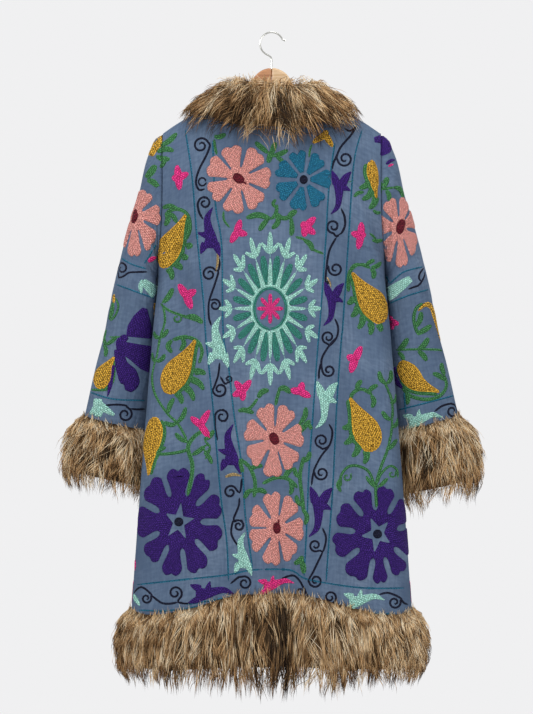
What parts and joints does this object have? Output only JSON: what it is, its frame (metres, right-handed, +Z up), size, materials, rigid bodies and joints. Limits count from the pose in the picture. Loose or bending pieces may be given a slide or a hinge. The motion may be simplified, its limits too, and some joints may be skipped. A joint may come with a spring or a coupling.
{
  "type": "fur-trimmed embroidered coat on a wooden hanger",
  "caption": "Knee-length cotton coat with floral embroidery and long-pile fur collar, cuffs and hem, hanging open-fronted on a wooden hanger with a wire hook.",
  "frame": {"origin": "the inside of the hook's top, where the hook rests on what carries it", "axes": "+Z up, the coat's back faces -Y, +X towards the wearer's right sleeve, which is at the right in a view of the back"},
  "size_m": [0.8148, 0.289, 1.2015],
  "materials": {
    "cloth": "slate-blue cotton with chain-stitch embroidery",
    "fur": "long-pile faux fur, tan with dark tips",
    "light_wood": "satin varnish",
    "red_wood": "satin varnish",
    "steel": "polished"
  },
  "bodies": {
    "root": {"back": "cloth", "front_left": "cloth", "front_right": "cloth", "sleeve_left": "cloth", "sleeve_right": "cloth", "collar_fur": "fur", "cuff_fur_left": "fur", "cuff_fur_right": "fur", "hem_fur_back": "fur", "hem_fur_front_left": "fur", "hem_fur_front_right": "fur", "hanger_left": "red_wood", "hanger_right": "light_wood", "hanger_hook": "steel"}
  },
  "joints": []
}
